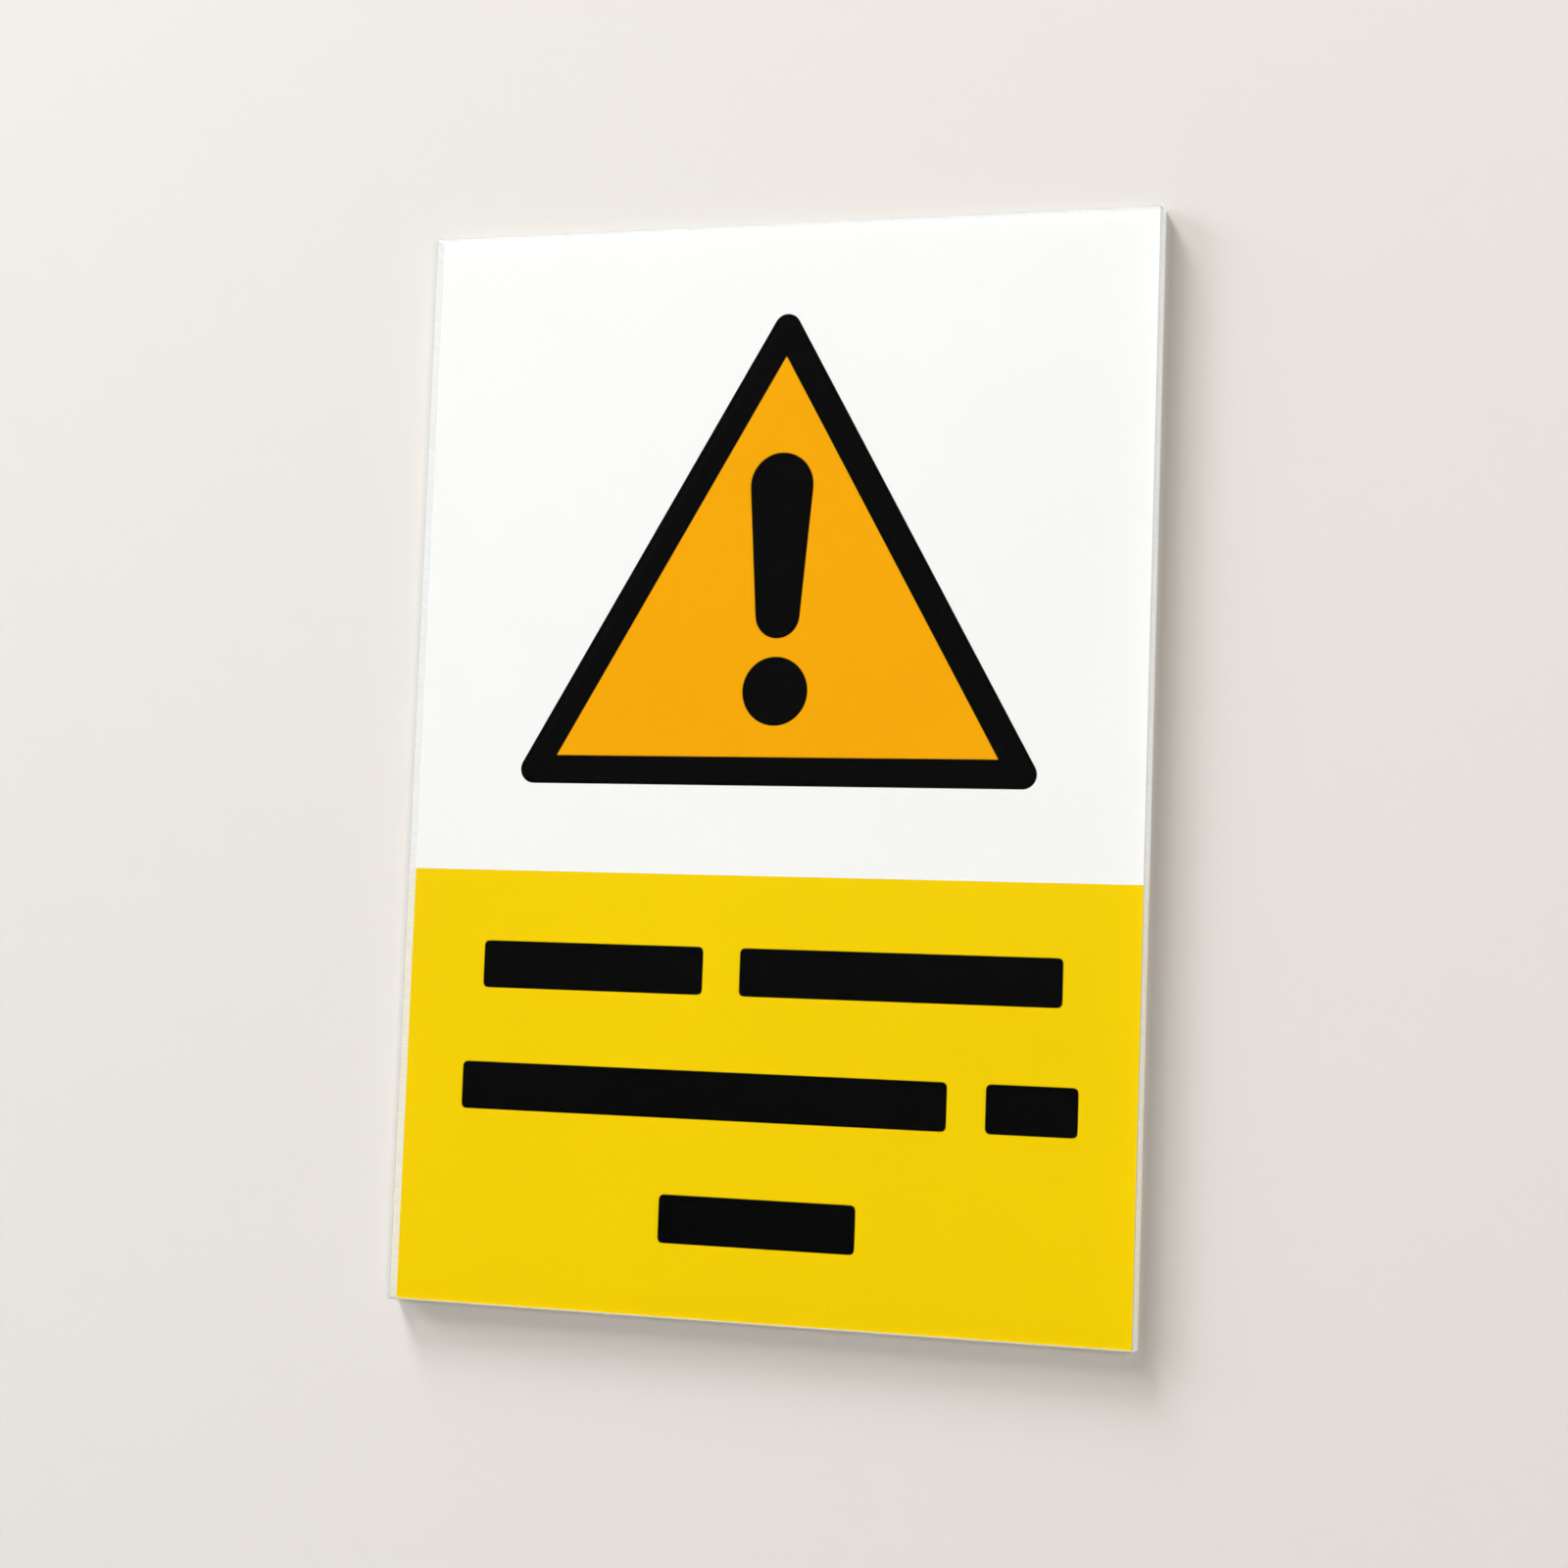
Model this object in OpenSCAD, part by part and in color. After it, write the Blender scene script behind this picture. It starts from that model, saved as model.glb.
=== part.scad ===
// Wall sign: a clear plastic sheet with its print on the back.
// The inks show through the sheet, and a white film closes the back.
// X runs to the right, Z up, and the sign is read from the -Y side.
// The origin is the middle of the back, which lies against the wall.

/* [Sheet] */
// Width of the sheet
sheet_w = 210; // [180:1:420]
// Height of the sheet
sheet_h = 297; // [260:1:594]
// Thickness of the clear sheet
sheet_t = 4.8; // [2:0.1:12]
// Radius of the four corners of the sheet
corner_r = 0.6; // [0.2:0.1:8]
// Width of the chamfer that breaks the edges of the front face
edge_break = 0.3; // [0.1:0.1:0.9]

/* [Print] */
// Thickness of the white film, with the inks laid into it
film_t = 0.2; // [0.15:0.05:0.6]
// Thickness of the inks
ink_t = 0.1; // [0.05:0.01:0.12]
// Height of the yellow panel, from the bottom edge
panel_h = 118.8; // [100:0.1:130]

/* [Warning triangle] */
// Side of the triangle, along the middle of its black border
triangle_side = 140.5; // [130:0.5:150]
// Width of the black border
border_w = 7.84; // [4:0.02:10]

/* [Exclamation mark] */
// Height of the bar
bar_h = 51; // [40:0.5:55]
// Width of the bar across its round top
bar_top_w = 18.2; // [14:0.1:20]
// Width of the bar across its round foot
bar_foot_w = 12.8; // [8:0.1:13.8]
// Diameter of the dot
dot_d = 18.8; // [12:0.1:22]
// Gap between the bar and the dot
dot_gap = 5; // [3:0.1:8]
// Height of the dot above the black border
dot_rise = 8.5; // [5:0.1:10]

/* [Legend] */
// Lengths of the bars in the top row
row_1 = [65, 90]; // [10:1:90]
// Lengths of the bars in the middle row
row_2 = [140, 25]; // [10:1:140]
// Lengths of the bars in the bottom row
row_3 = [56]; // [10:1:160]
// Height of a legend bar
legend_bar_h = 13; // [8:0.5:20]
// Distance from one row to the next
row_pitch = 33.4; // [24:0.2:36]
// Space between two bars of a row
word_gap = 10.6; // [4:0.2:14]
// Radius of the corners of a legend bar
legend_r = 1.5; // [0.2:0.1:3.9]

/* [Hidden] */
$fn = 96;
// The back of the sheet is the plane of the print
print_y = -film_t;
// The white field takes what the yellow panel leaves of the height
panel_top = panel_h - sheet_h / 2;
panel_mid = (panel_top - sheet_h / 2) / 2;
white_mid = (panel_top + sheet_h / 2) / 2;
// The border is a stroke, and the triangle stands in the middle of the white field
stroke_r = border_w / 2;
triangle_h = triangle_side * sin(60);
triangle_base = white_mid - triangle_h / 2;
inner_side = triangle_side - border_w * sqrt(3);
inner_base = triangle_base + stroke_r;
// The mark stands on the border, dot first
dot_mid = inner_base + dot_rise + dot_d / 2;
bar_foot = dot_mid + dot_d / 2 + dot_gap;
legend_rows = [row_1, row_2, row_3];

function total(list, i = 0) = i < len(list) ? list[i] + total(list, i + 1) : 0;
// Left end of bar k in a centred row
function bar_start(row, k) =
    -(total(row) + (len(row) - 1) * word_gap) / 2
    + total([for (i = [0:1:k - 1]) row[i] + word_gap]);
// Middle height of row k, with the rows centred in the panel
function row_mid(k) = panel_mid + ((len(legend_rows) - 1) / 2 - k) * row_pitch;

// A layer of a flat drawing: x stays across, y becomes the height, and back_y is its rear face
module layer(back_y, thickness) {
    translate([0, back_y, 0])
        rotate([90, 0, 0])
            linear_extrude(height = thickness)
                children();
}

// A layer of ink, in a pocket in the front of the film
module ink_layer() {
    layer(print_y + ink_t, ink_t)
        children();
}

// Outline of a centred rectangle with round corners
module rounded_rect(width, height, radius) {
    square([width - 2 * radius, height], center = true);
    square([width, height - 2 * radius], center = true);
    for (side = [-1, 1], end = [-1, 1])
        translate([side * (width / 2 - radius), end * (height / 2 - radius)])
            circle(r = radius);
}

// Outline shared by the sheet and the film behind it
module sheet_outline() {
    rounded_rect(sheet_w, sheet_h, corner_r);
}

// Section of the sheet, cut across: the back lies on y = 0 and the two front edges are broken
module sheet_section(width) {
    half = width / 2;
    polygon([
        [-half, 0],
        [half, 0],
        [half, edge_break - sheet_t],
        [half - edge_break, -sheet_t],
        [edge_break - half, -sheet_t],
        [-half, edge_break - sheet_t]
    ]);
}

// Upright triangle with equal sides, standing on base
module plain_triangle(side, base) {
    polygon([[-side / 2, base], [side / 2, base], [0, base + side * sin(60)]]);
}

// The same triangle grown by radius, which rounds its corners
module round_triangle(side, base, radius) {
    corners = [[-side / 2, base], [side / 2, base], [0, base + side * sin(60)]];
    polygon([
        for (k = [0:2], turn = [150 + 120 * k, 270 + 120 * k])
            corners[k] + radius * [cos(turn), sin(turn)]
    ]);
    for (corner = corners)
        translate(corner)
            circle(r = radius);
}

// Upright bar with round ends, narrower at the foot, whose sides touch both ends
module tapered_bar(height, top_w, foot_w) {
    top_r = top_w / 2;
    foot_r = foot_w / 2;
    reach = height - top_r - foot_r;
    lean = asin((top_r - foot_r) / reach);
    across = cos(lean);
    drop = sin(lean);
    translate([0, foot_r]) {
        circle(r = foot_r);
        translate([0, reach])
            circle(r = top_r);
        polygon([
            [-foot_r * across, -foot_r * drop],
            [foot_r * across, -foot_r * drop],
            [top_r * across, reach - top_r * drop],
            [-top_r * across, reach - top_r * drop]
        ]);
    }
}

module mark_outline() {
    translate([0, dot_mid])
        circle(d = dot_d);
    translate([0, bar_foot])
        tapered_bar(bar_h, bar_top_w, bar_foot_w);
}

module legend_outline() {
    for (k = [0:len(legend_rows) - 1])
        for (i = [0:len(legend_rows[k]) - 1])
            translate([bar_start(legend_rows[k], i) + legend_rows[k][i] / 2, row_mid(k)])
                rounded_rect(legend_rows[k][i], legend_bar_h, legend_r);
}

// The lower part of the sheet's outline, up to the white field
module panel_outline() {
    intersection() {
        sheet_outline();
        translate([-sheet_w / 2, -sheet_h / 2])
            square([sheet_w, panel_h]);
    }
}

// White film over the whole back, with a pocket for every ink
module backing_film() {
    color("white")
        difference() {
            layer(0, film_t)
                sheet_outline();
            ink_layer() {
                panel_outline();
                round_triangle(triangle_side, triangle_base, stroke_r);
            }
        }
}

module yellow_panel() {
    color([0.97, 0.82, 0.02])
        ink_layer()
            difference() {
                panel_outline();
                legend_outline();
            }
}

module triangle_border() {
    color([0.05, 0.05, 0.05])
        ink_layer()
            difference() {
                round_triangle(triangle_side, triangle_base, stroke_r);
                plain_triangle(inner_side, inner_base);
            }
}

module triangle_field() {
    color([0.98, 0.67, 0.03])
        ink_layer()
            difference() {
                plain_triangle(inner_side, inner_base);
                mark_outline();
            }
}

module exclamation_mark() {
    color([0.05, 0.05, 0.05])
        ink_layer()
            mark_outline();
}

// Plain bars in place of the words
module legend_bars() {
    color([0.07, 0.07, 0.07])
        ink_layer()
            legend_outline();
}

// The outline, and the broken front edges seen along the height and along the width
module clear_sheet() {
    color([0.92, 0.94, 0.93, 0.25])
        intersection() {
            layer(print_y, sheet_t)
                sheet_outline();
            translate([0, print_y, 0])
                linear_extrude(height = sheet_h, center = true)
                    sheet_section(sheet_w);
            translate([0, print_y, 0])
                rotate([0, 90, 0])
                    linear_extrude(height = sheet_w, center = true)
                        sheet_section(sheet_h);
        }
}

backing_film();
yellow_panel();
triangle_border();
triangle_field();
exclamation_mark();
legend_bars();
clear_sheet();
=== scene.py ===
import math

import bmesh
import bpy
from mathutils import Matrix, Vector


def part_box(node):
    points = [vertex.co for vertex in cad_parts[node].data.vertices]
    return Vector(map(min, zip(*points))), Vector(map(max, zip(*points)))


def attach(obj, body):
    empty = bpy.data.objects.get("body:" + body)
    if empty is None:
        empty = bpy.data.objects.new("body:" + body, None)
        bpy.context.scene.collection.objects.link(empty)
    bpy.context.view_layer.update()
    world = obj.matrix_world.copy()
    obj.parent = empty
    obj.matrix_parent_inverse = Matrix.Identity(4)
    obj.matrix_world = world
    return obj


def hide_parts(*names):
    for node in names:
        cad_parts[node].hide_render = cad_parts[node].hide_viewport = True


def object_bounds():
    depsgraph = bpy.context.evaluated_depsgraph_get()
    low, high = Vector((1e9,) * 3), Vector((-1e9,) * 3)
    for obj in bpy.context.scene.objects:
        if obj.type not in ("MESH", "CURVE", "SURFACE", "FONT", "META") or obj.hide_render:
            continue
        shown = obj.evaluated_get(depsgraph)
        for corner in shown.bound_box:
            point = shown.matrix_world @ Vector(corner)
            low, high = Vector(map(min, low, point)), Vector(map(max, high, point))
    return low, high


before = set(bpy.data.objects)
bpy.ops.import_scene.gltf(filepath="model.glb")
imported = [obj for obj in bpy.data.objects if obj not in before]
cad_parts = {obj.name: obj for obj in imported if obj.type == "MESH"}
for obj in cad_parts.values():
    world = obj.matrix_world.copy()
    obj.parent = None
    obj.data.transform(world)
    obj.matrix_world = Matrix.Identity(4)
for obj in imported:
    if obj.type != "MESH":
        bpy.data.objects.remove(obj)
cad_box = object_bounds()

MM = 0.001

# Camera, solved from the photograph's perspective
CAMERA_PLACE = (0.3078, -0.8395, -0.0600)
CAMERA_TURN = (95.406, -2.056, 19.793)
CAMERA_LENS = 76.09
CAMERA_SENSOR = 36.0
CAMERA_SHIFT_Y = -0.0687

# Sheet: the broken front edges, the round corners and the hairline of glue behind it
EDGE_BREAK = 0.3 * MM
CORNER_RADIUS = 0.6 * MM
GLUE_LINE = 0.02 * MM
CORNER_STEPS = 8
BREAK_STEPS = 3

# Noise rarely leaves this range
NOISE_RANGE = (0.3, 0.7)

# Acrylic; each bump is its strength and its depth
ACRYLIC_IOR = 1.15
ACRYLIC_TINT = (0.995, 0.998, 0.996, 1.0)
POLISH = (0.2, 0.26)
SMUDGE_SIZE = 45 * MM
RIPPLE_SIZE = 6 * MM
RIPPLE_BUMP = (0.03, 0.02 * MM)

# Sheen of the film and the sawn edges
SHEEN = 0.3

# Sawn edges
EDGE_DARK = (0.71, 0.71, 0.69)
EDGE_LIGHT = (0.79, 0.79, 0.77)
SAW_PITCH = 0.45 * MM
SAW_REACH = 6 * MM
SAW_DETAIL = 3.0
SAW_BUMP = (0.25, 0.03 * MM)
EDGE_ROUGHNESS = 0.62
EDGE_GLOW = 0.5
# Painted shade: the outside of the cut is this much darker than its inside
OUTSIDE_PAINTED_SHADE = 0.86
EDGE_BOUNCE = 0.5
GLOW_BOUNCE = 0.05

# Print
DRIFT_SIZE = 60 * MM
GRAIN_SIZE = 0.35 * MM
GRAIN_DETAIL = 1.0
GRAIN_BUMP = (0.05, 0.02 * MM)
INK_ROUGHNESS = (0.55, 0.7)
PEEL_SIZE = 1.6 * MM
PEEL_BUMP = (0.08, 0.05 * MM)
FILM_ROUGHNESS = (0.38, 0.5)
WHITE = (0.94, 0.938, 0.936)
YELLOW = (0.955, 0.66, 0.001)
AMBER = (0.955, 0.42, 0.001)
BLACK = (0.0008, 0.0008, 0.0009)
INK_SPREAD = 0.025
FILM_SPREAD = 0.012
SCUFF_REACH = 7 * MM
SCUFF_SIZE = 9 * MM
SCUFF_DETAIL = 5.0
SCUFF_RANGE = (0.45, 0.7)
SCUFF_COLOUR = (0.70, 0.69, 0.66, 1.0)
SCUFF_SHARE = 0.35

# Stage
WALL_GAP = 0.15 * MM
WALL_SIZE = (10.0, 6.0)
FLOOR_DROP = 1.5
FLOOR_SIZE = 60.0
WALL_COLOUR = (0.775, 0.747, 0.709)
FLOOR_COLOUR = (0.82, 0.81, 0.79)
PAINT_PATCH = 0.5
WALL_EVENNESS = 0.99
FLOOR_EVENNESS = 0.98
AIR_LIGHT = 0.01
BACKGROUND = 0.75
FLOOR_PALE = 0.8
FLOOR_BOUNCE = 0.4

# Light colours: their sum on the sign is white, and the shadow is a little warm
COOL = (0.90, 0.945, 1.0)
WARM = (1.0, 0.93, 0.85)
PLAIN = (1.0, 1.0, 1.0)
# Lamps in front: name, degrees to the left, degrees up, watts, colour
LAMPS = (
    ("key", 58.0, 60.0, 154.0, COOL),
    ("side", 75.0, 25.0, 74.0, COOL),
    ("low", 67.0, 5.0, 25.0, COOL),
    ("front", 30.0, 45.0, 28.9, WARM),
    ("fill", -30.0, 5.0, 49.2, WARM),
)
LAMP_DISTANCE = 3.6
LAMP_SIZE = 1.1
# Lamp behind, which mustn't reach round the sign
BACK_LAMP = ("back", 180.0, 0.0, 1.3, PLAIN)
BACK_DISTANCE = 3.0
BACK_SIZE = 0.6
BACK_SPREAD = 30.0


def add(tree, kind, inputs=None, **settings):
    """A shader node; an input's value is a number, a colour or another node's output."""
    made = tree.nodes.new("ShaderNode" + kind)
    for name, value in settings.items():
        setattr(made, name, value)
    for name, value in (inputs or {}).items():
        if isinstance(value, bpy.types.NodeSocket):
            tree.links.new(value, made.inputs[name])
        else:
            made.inputs[name].default_value = value
    return made


def new_tree(name):
    """An empty material and its node tree."""
    material = bpy.data.materials.new(name)
    material.use_nodes = True
    material.node_tree.nodes.clear()
    return material, material.node_tree


def show(tree, shader):
    """Sends a shader to the material's output."""
    add(tree, "OutputMaterial", {"Surface": shader.outputs[0]})


def places(tree):
    """Places on the piece, in metres."""
    return add(tree, "TexCoord").outputs["Object"]


def noise(tree, vector, size, detail=2.0):
    """Soft noise whose patches are about that size."""
    inputs = {"Vector": vector, "Scale": 1.0 / size, "Detail": detail}
    return add(tree, "TexNoise", inputs).outputs["Fac"]


def spread(tree, value, low, high, start=NOISE_RANGE[0], end=NOISE_RANGE[1]):
    """value, from start to end, taken to low and high."""
    inputs = {"Value": value, "From Min": start, "From Max": end, "To Min": low, "To Max": high}
    return add(tree, "MapRange", inputs).outputs["Result"]


def between(tree, share, without, with_it):
    """without where share is 0, with_it where it is 1."""
    return spread(tree, share, without, with_it, 0.0, 1.0)


def maths(tree, operation, first, second=0.0):
    """A sum, product or the like of two numbers."""
    return add(tree, "Math", {0: first, 1: second}, operation=operation).outputs[0]


def scaled(tree, colour, factor):
    """colour times factor."""
    inputs = {"Vector": colour, "Scale": factor}
    return add(tree, "VectorMath", inputs, operation="SCALE").outputs["Vector"]


def bump(tree, height, strength, distance):
    """The normal of a surface with that relief."""
    inputs = {"Height": height, "Strength": strength, "Distance": distance}
    return add(tree, "Bump", inputs).outputs["Normal"]


def blend(tree, factor, first, second):
    """The colour between first and second; the node has its colours in sockets 6 and 7."""
    return add(tree, "Mix", {0: factor, 6: first, 7: second}, data_type="RGBA").outputs[2]


def ink_tone(tree, vector, amount):
    """How evenly the ink lies: slow drift across the print, and a fine grain."""
    drift = spread(tree, noise(tree, vector, DRIFT_SIZE), 1.0 - amount, 1.0)
    grain = noise(tree, vector, GRAIN_SIZE, GRAIN_DETAIL)
    grain = spread(tree, grain, 1.0 - amount / 2, 1.0)
    return maths(tree, "MULTIPLY", drift, grain)


def ink(name, colour):
    """Ink on the back of the sheet: matt, because it is bonded to the acrylic."""
    material, tree = new_tree(name)
    vector = places(tree)
    grain = noise(tree, vector, GRAIN_SIZE, GRAIN_DETAIL)
    shader = add(tree, "BsdfPrincipled", {
        "Base Color": scaled(tree, colour, ink_tone(tree, vector, INK_SPREAD)),
        "Roughness": spread(tree, grain, *INK_ROUGHNESS),
        "Specular IOR Level": 0.0,
        "Normal": bump(tree, grain, *GRAIN_BUMP),
    })
    show(tree, shader)
    return material


def rim_share(tree, vector, high, reach):
    """1 at the outer edges of the sign, falling to 0 within reach."""
    split = add(tree, "SeparateXYZ", {"Vector": vector})
    from_side = maths(tree, "SUBTRACT", high.x, maths(tree, "ABSOLUTE", split.outputs["X"]))
    from_end = maths(tree, "SUBTRACT", high.z, maths(tree, "ABSOLUTE", split.outputs["Z"]))
    nearest = maths(tree, "MINIMUM", from_side, from_end)
    return spread(tree, nearest, 1.0, 0.0, 0.0, reach)


def back_share(tree, vector, high):
    """1 on the back of the film, 0 on what shows through the sheet."""
    split = add(tree, "SeparateXYZ", {"Vector": vector})
    return maths(tree, "GREATER_THAN", split.outputs["Y"], high.y - GLUE_LINE)


def film():
    """White film: clean where it shows through the sheet, lightly scuffed round the back."""
    material, tree = new_tree("white_film")
    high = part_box("backing_film")[1]
    vector = places(tree)
    clean = scaled(tree, WHITE, ink_tone(tree, vector, FILM_SPREAD))
    patches = noise(tree, vector, SCUFF_SIZE, SCUFF_DETAIL)
    patches = spread(tree, patches, 0.0, SCUFF_SHARE, *SCUFF_RANGE)
    scuffs = maths(tree, "MULTIPLY", patches, rim_share(tree, vector, high, SCUFF_REACH))
    scuffs = maths(tree, "MULTIPLY", scuffs, back_share(tree, vector, high))
    peel = noise(tree, vector, PEEL_SIZE)
    shader = add(tree, "BsdfPrincipled", {
        "Base Color": blend(tree, scuffs, clean, SCUFF_COLOUR),
        "Roughness": spread(tree, noise(tree, vector, SMUDGE_SIZE), *FILM_ROUGHNESS),
        "Specular IOR Level": SHEEN,
        "Normal": bump(tree, peel, *PEEL_BUMP),
    })
    show(tree, shader)
    return material


def polished_face():
    """The clear face: what is behind shows unbent, under a soft gloss."""
    material, tree = new_tree("clear_acrylic")
    vector = places(tree)
    ripple = bump(tree, noise(tree, vector, RIPPLE_SIZE), *RIPPLE_BUMP)
    smudge = spread(tree, noise(tree, vector, SMUDGE_SIZE), *POLISH)
    clear = add(tree, "BsdfTransparent", {"Color": ACRYLIC_TINT})
    gloss = add(tree, "BsdfGlossy", {"Color": (1, 1, 1, 1), "Roughness": smudge, "Normal": ripple})
    mirror = add(tree, "Fresnel", {"IOR": ACRYLIC_IOR}).outputs["Fac"]
    outside = maths(tree, "SUBTRACT", 1.0, add(tree, "NewGeometry").outputs["Backfacing"])
    share = maths(tree, "MULTIPLY", mirror, outside)
    show(tree, add(tree, "MixShader", {0: share, 1: clear.outputs[0], 2: gloss.outputs[0]}))
    return material


def saw_marks(tree):
    """Fine marks side by side along the cut, drawn out across the thickness."""
    split = add(tree, "SeparateXYZ", {"Vector": places(tree)})
    along = maths(tree, "ADD", split.outputs["X"], split.outputs["Z"])
    along = maths(tree, "DIVIDE", along, SAW_PITCH)
    across = maths(tree, "DIVIDE", split.outputs["Y"], SAW_REACH)
    vector = add(tree, "CombineXYZ", {"X": along, "Y": across}).outputs["Vector"]
    return noise(tree, vector, 1.0, SAW_DETAIL)


def edge_colours(tree, marks, inside, bounced):
    """The cut's colour and that of its glow: darker outside by painted shade, and dimmed in bounced
    light.
    """
    pale = blend(tree, spread(tree, marks, 0.0, 1.0), (*EDGE_DARK, 1), (*EDGE_LIGHT, 1))
    # Painted shade: the cut's outside is darker than its inside
    pale = scaled(tree, pale, between(tree, inside, OUTSIDE_PAINTED_SHADE, 1.0))
    bounced_inside = maths(tree, "MULTIPLY", bounced, inside)
    matt = scaled(tree, pale, between(tree, bounced_inside, 1.0, EDGE_BOUNCE))
    glow = scaled(tree, pale, between(tree, bounced, 1.0, GLOW_BOUNCE))
    return matt, glow


def sawn_edge():
    """The cut edges: matt and pale, with fine saw marks.

    Lamps light the print through them, and light in the sheet shows on their outside.
    That glow stays off the wall, so that the sheet keeps its shadow."""
    material, tree = new_tree("sawn_edge")
    ray = add(tree, "LightPath").outputs
    inside = add(tree, "NewGeometry").outputs["Backfacing"]
    marks = saw_marks(tree)
    matt_colour, glow_colour = edge_colours(tree, marks, inside, ray["Is Diffuse Ray"])
    normal = bump(tree, marks, *SAW_BUMP)
    matt = add(tree, "BsdfPrincipled", {
        "Base Color": matt_colour,
        "Roughness": EDGE_ROUGHNESS,
        "Specular IOR Level": SHEEN,
        "Normal": normal,
    })
    glow = add(tree, "BsdfTranslucent", {"Color": glow_colour, "Normal": normal})
    solid = add(tree, "MixShader", {0: EDGE_GLOW, 1: matt.outputs[0], 2: glow.outputs[0]})
    let_in = maths(tree, "MULTIPLY", inside, ray["Is Shadow Ray"])
    clear = add(tree, "BsdfTransparent")
    show(tree, add(tree, "MixShader", {0: let_in, 1: solid.outputs[0], 2: clear.outputs[0]}))
    return material


def outline(half_width, half_height, radius):
    """Points round a rectangle with round corners, anticlockwise from the right, as (x, z)."""
    points = []
    for quarter, (side, end) in enumerate(((1, 1), (-1, 1), (-1, -1), (1, -1))):
        middle = Vector((side * (half_width - radius), end * (half_height - radius)))
        for step in range(CORNER_STEPS + 1):
            turn = math.radians(90 * (quarter + step / CORNER_STEPS))
            points.append(middle + radius * Vector((math.cos(turn), math.sin(turn))))
    return points


def sheet_rings(low, high):
    """Depth and inset of each ring of the sheet, from the back to the front face."""
    rings = [(high.y - GLUE_LINE, 0.0)]
    for step in range(BREAK_STEPS + 1):
        turn = math.radians(90 * step / BREAK_STEPS)
        inset = EDGE_BREAK * (1 - math.cos(turn))
        rings.append((low.y + EDGE_BREAK * (1 - math.sin(turn)), inset))
    return rings


def sheet_mesh():
    """The sheet's rings joined by sawn walls, and closed by its two polished faces."""
    low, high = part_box("clear_sheet")
    mesh = bmesh.new()
    rings = []
    for depth, inset in sheet_rings(low, high):
        points = outline(high.x - inset, high.z - inset, CORNER_RADIUS - inset)
        rings.append([mesh.verts.new((p.x, depth, p.y)) for p in points])
    count = len(rings[0])
    for back, front in zip(rings, rings[1:]):
        for i in range(count):
            j = (i + 1) % count
            wall = mesh.faces.new((back[i], back[j], front[j], front[i]))
            wall.material_index = 1
            wall.smooth = back is not rings[0]
    mesh.faces.new(rings[0])
    mesh.faces.new(list(reversed(rings[-1])))
    bmesh.ops.recalc_face_normals(mesh, faces=mesh.faces)
    data = bpy.data.meshes.new("acrylic_sheet")
    mesh.to_mesh(data)
    mesh.free()
    return data


def clear_sheet():
    """The sheet: polished faces, sawn edges and softened front edges, in the CAD node's place."""
    data = sheet_mesh()
    sheet = bpy.data.objects.new("acrylic_sheet", data)
    bpy.context.scene.collection.objects.link(sheet)
    data.materials.append(polished_face())
    data.materials.append(sawn_edge())
    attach(sheet, "root")
    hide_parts("clear_sheet")


def paint(node, material):
    """Gives a CAD node its material."""
    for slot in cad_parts[node].material_slots:
        slot.material = material


def dress():
    """Materials for the printed layers, and the sheet in front of them."""
    black = ink("black_ink", BLACK)
    paint("backing_film", film())
    paint("yellow_panel", ink("yellow_ink", YELLOW))
    paint("triangle_field", ink("amber_ink", AMBER))
    for node in ("triangle_border", "exclamation_mark", "legend_bars"):
        paint(node, black)
    clear_sheet()


def plane(name, width, height, material):
    """A flat stage panel, lying in its own x and y."""
    data = bpy.data.meshes.new(name)
    x = width / 2
    y = height / 2
    data.from_pydata([(-x, -y, 0), (x, -y, 0), (x, y, 0), (-x, y, 0)], [], [(0, 1, 2, 3)])
    panel = bpy.data.objects.new(name, data)
    bpy.context.scene.collection.objects.link(panel)
    data.materials.append(material)
    return panel


def seen_share(tree):
    """1 for what the camera sees, by itself, in a gloss or through something clear; 0 for light."""
    ray = add(tree, "LightPath").outputs
    seen = maths(tree, "ADD", ray["Is Camera Ray"], ray["Is Glossy Ray"])
    seen = maths(tree, "ADD", seen, ray["Is Transmission Ray"])
    seen = maths(tree, "MINIMUM", seen, 1.0)
    return maths(tree, "MULTIPLY", seen, maths(tree, "SUBTRACT", 1.0, ray["Is Diffuse Ray"]))


def painted_wall():
    """Pale wall paint, seen only from the room, so that the back of the sign shows too."""
    material, tree = new_tree("wall_paint")
    vector = places(tree)
    evenness = spread(tree, noise(tree, vector, PAINT_PATCH), WALL_EVENNESS, 1.0)
    colour = scaled(tree, WALL_COLOUR, evenness)
    matt = add(tree, "BsdfDiffuse", {"Color": colour})
    clear = add(tree, "BsdfTransparent")
    behind = add(tree, "NewGeometry").outputs["Backfacing"]
    show(tree, add(tree, "MixShader", {0: behind, 1: matt.outputs[0], 2: clear.outputs[0]}))
    return material


def floor_paint():
    """Pale floor: it takes light and shadow, looks pale as far as it reaches, and lights little."""
    material, tree = new_tree("floor_paint")
    evenness = spread(tree, noise(tree, places(tree), PAINT_PATCH), FLOOR_EVENNESS, 1.0)
    colour = scaled(tree, FLOOR_COLOUR, evenness)
    seen = seen_share(tree)
    bounce = scaled(tree, colour, between(tree, seen, FLOOR_BOUNCE, 1.0))
    matt = add(tree, "BsdfDiffuse", {"Color": bounce})
    pale = add(tree, "Emission", {"Color": colour, "Strength": 1.0})
    share = maths(tree, "MULTIPLY", seen, FLOOR_PALE)
    show(tree, add(tree, "MixShader", {0: share, 1: matt.outputs[0], 2: pale.outputs[0]}))
    return material


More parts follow.
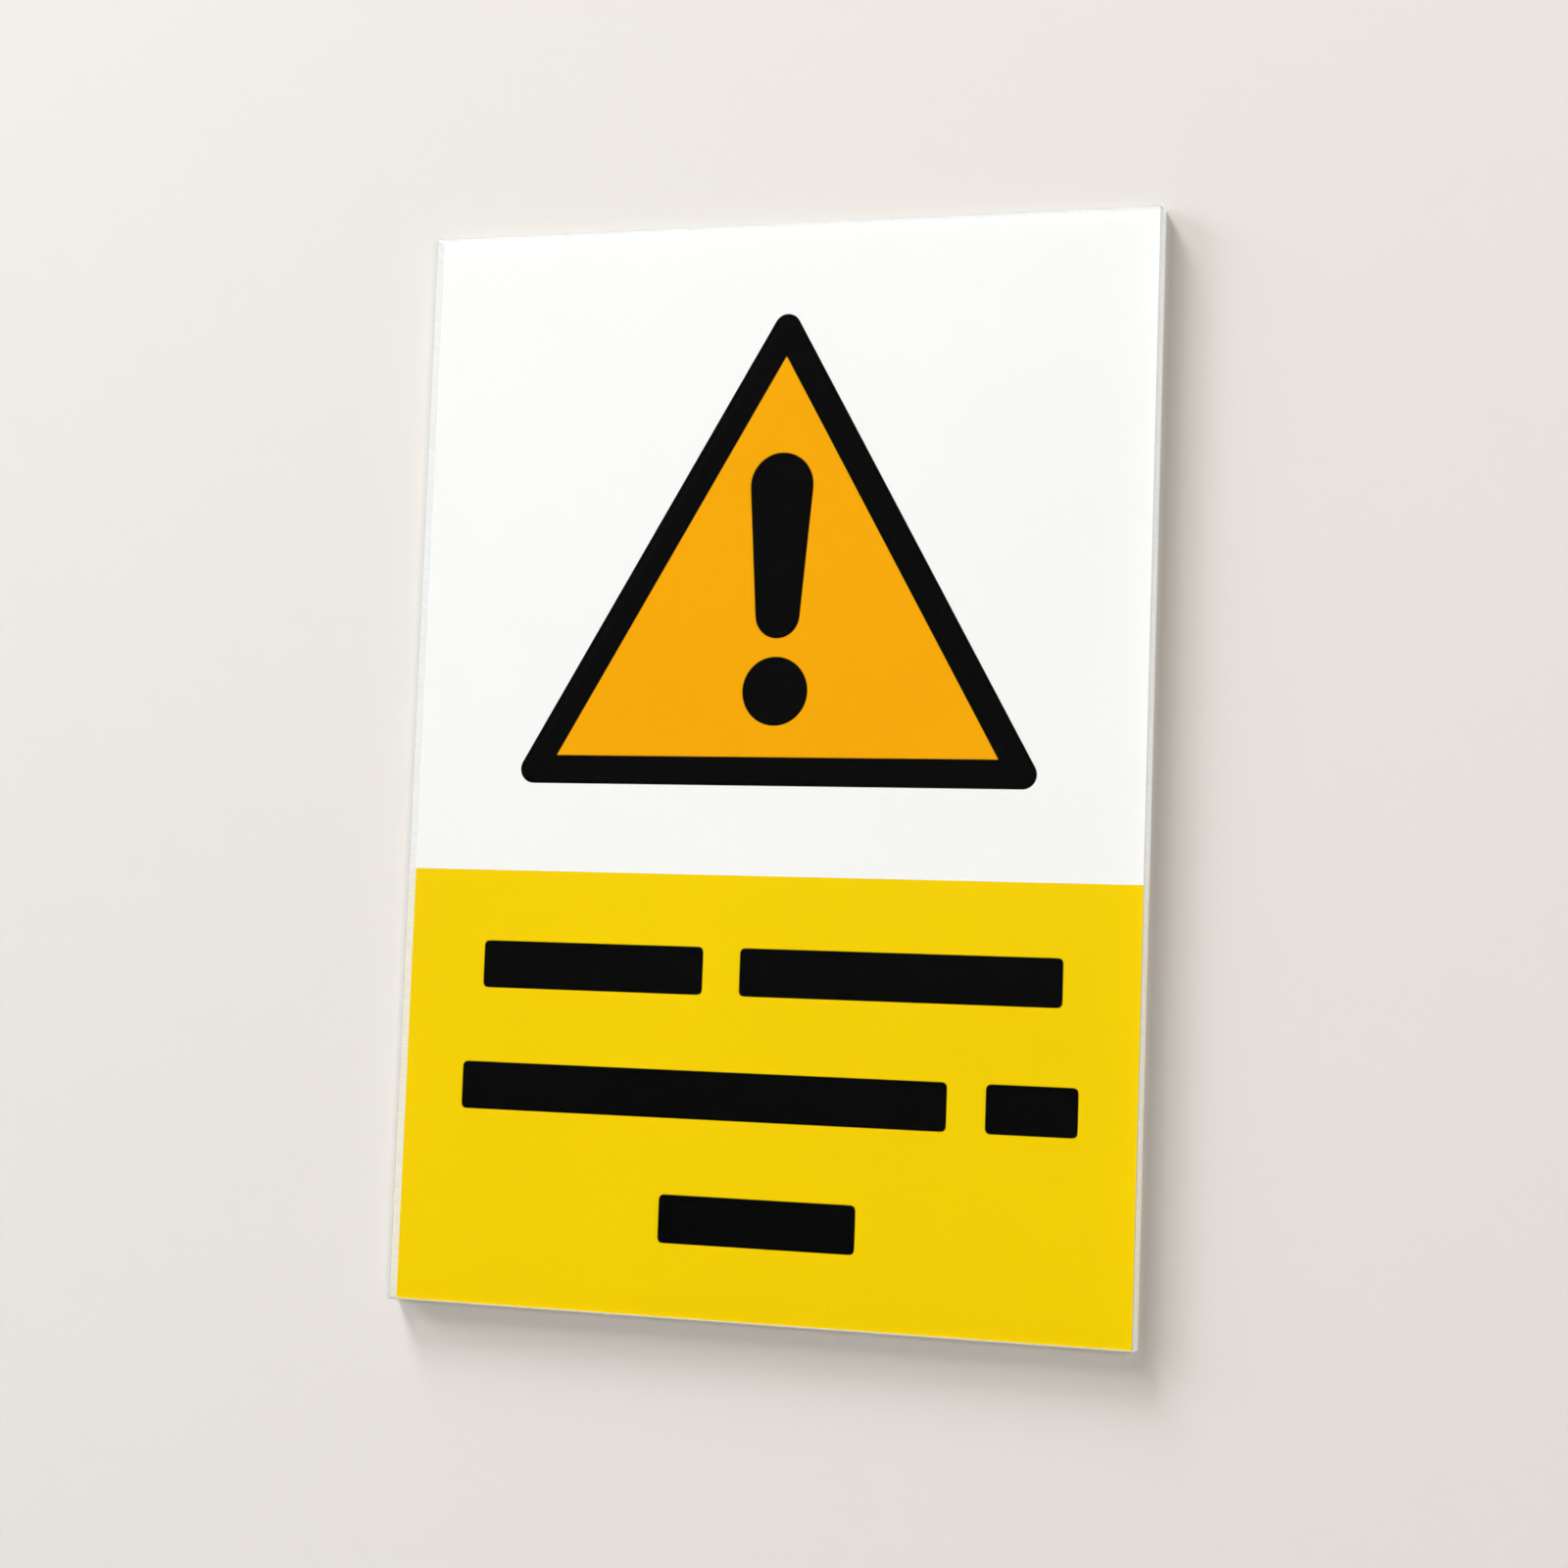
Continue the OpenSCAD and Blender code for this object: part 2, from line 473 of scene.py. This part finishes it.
def stage():
    """The wall that the sign hangs on, and the floor."""
    back = cad_box[1].y
    wall = plane("wall", *WALL_SIZE, painted_wall())
    wall.rotation_euler = (math.radians(90), 0, 0)
    wall.location = (0, back + WALL_GAP, WALL_SIZE[1] / 2 - FLOOR_DROP)
    wall.visible_shadow = False
    floor = plane("floor", FLOOR_SIZE, FLOOR_SIZE, floor_paint())
    floor.location = (0, 0, -FLOOR_DROP)


def lamp(name, turn, height, watts, colour, distance, size):
    """A soft square panel that faces the sign."""
    data = bpy.data.lights.new(name, "AREA")
    data.shape = "SQUARE"
    data.size = size
    data.energy = watts
    data.color = colour
    made = bpy.data.objects.new(name, data)
    bpy.context.scene.collection.objects.link(made)
    turn = math.radians(turn)
    height = math.radians(height)
    level = math.cos(height)
    way = Vector((-math.sin(turn) * level, -math.cos(turn) * level, math.sin(height)))
    made.location = way * distance
    made.rotation_euler = way.to_track_quat("Z", "Y").to_euler()
    made.visible_camera = False
    return made


def air():
    """The world: almost no light of its own, and a pale background wherever it is seen."""
    world = bpy.data.worlds.new("studio")
    world.use_nodes = True
    tree = world.node_tree
    background = tree.nodes["Background"]
    background.inputs["Color"].default_value = (1, 1, 1, 1)
    strength = between(tree, seen_share(tree), AIR_LIGHT, BACKGROUND)
    tree.links.new(strength, background.inputs["Strength"])
    bpy.context.scene.world = world


def lights():
    """Soft lamps in front, and a narrow one behind."""
    for values in LAMPS:
        lamp(*values, LAMP_DISTANCE, LAMP_SIZE)
    back = lamp(*BACK_LAMP, BACK_DISTANCE, BACK_SIZE)
    back.data.spread = math.radians(BACK_SPREAD)


def camera():
    """The photograph's camera."""
    data = bpy.data.cameras.new("camera")
    data.lens = CAMERA_LENS
    data.sensor_width = CAMERA_SENSOR
    data.shift_y = CAMERA_SHIFT_Y
    made = bpy.data.objects.new("camera", data)
    bpy.context.scene.collection.objects.link(made)
    made.location = CAMERA_PLACE
    made.rotation_euler = [math.radians(angle) for angle in CAMERA_TURN]
    bpy.context.scene.camera = made


bpy.context.scene.view_settings.view_transform = "Standard"
dress()
stage()
air()
lights()
camera()
